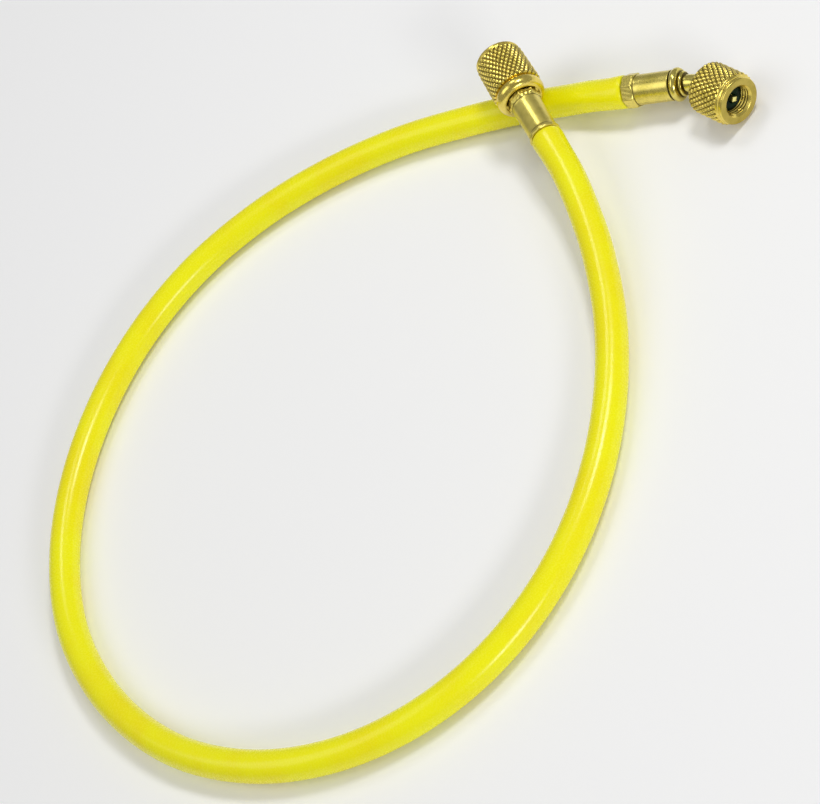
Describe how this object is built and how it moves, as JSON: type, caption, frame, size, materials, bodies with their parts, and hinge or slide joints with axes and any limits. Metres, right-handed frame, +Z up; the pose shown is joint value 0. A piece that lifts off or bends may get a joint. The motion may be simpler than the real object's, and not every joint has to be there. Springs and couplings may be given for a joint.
{
  "type": "refrigerant charging hose",
  "caption": "Rubber refrigerant charging hose in one loop, with knurled brass swivel nuts: one straight fitting and one bent fitting with a valve depressor.",
  "frame": {"origin": "on the floor, under the middle of the box around the whole hose as it lies", "axes": "+Z up from the floor; +X along the loop's long side, towards the two fittings; +Y across it, away from the bent fitting's mouth"},
  "size_m": [0.3236, 0.2575, 0.0327],
  "materials": {
    "hose_rubber": "satin yellow rubber",
    "brass": "turned and crimped brass",
    "nut_brass": "diamond-knurled brass",
    "seal_rubber": "dark green-black seal rubber"
  },
  "bodies": {
    "hose_body": {"hose": "hose_rubber", "straight_ferrule": "brass", "straight_stem": "brass", "straight_seal": "seal_rubber", "bent_ferrule": "brass", "bent_stem": "brass", "bent_seal": "seal_rubber", "bent_depressor": "brass"},
    "straight_nut_body": {"straight_nut": "nut_brass"},
    "bent_nut_body": {"bent_nut": "nut_brass"}
  },
  "joints": [
    {"name": "straight_nut_spin", "type": "hinge", "parent": "hose_body", "child": "straight_nut_body", "pos_m": [0.11256, 0.05573, 0.02379], "axis": [0.2704, 0.9525, 0.14], "continuous": true},
    {"name": "bent_nut_spin", "type": "hinge", "parent": "hose_body", "child": "bent_nut_body", "pos_m": [0.15252, -0.0374, 0.00975], "axis": [0.1167, -0.9932, 0], "continuous": true}
  ]
}
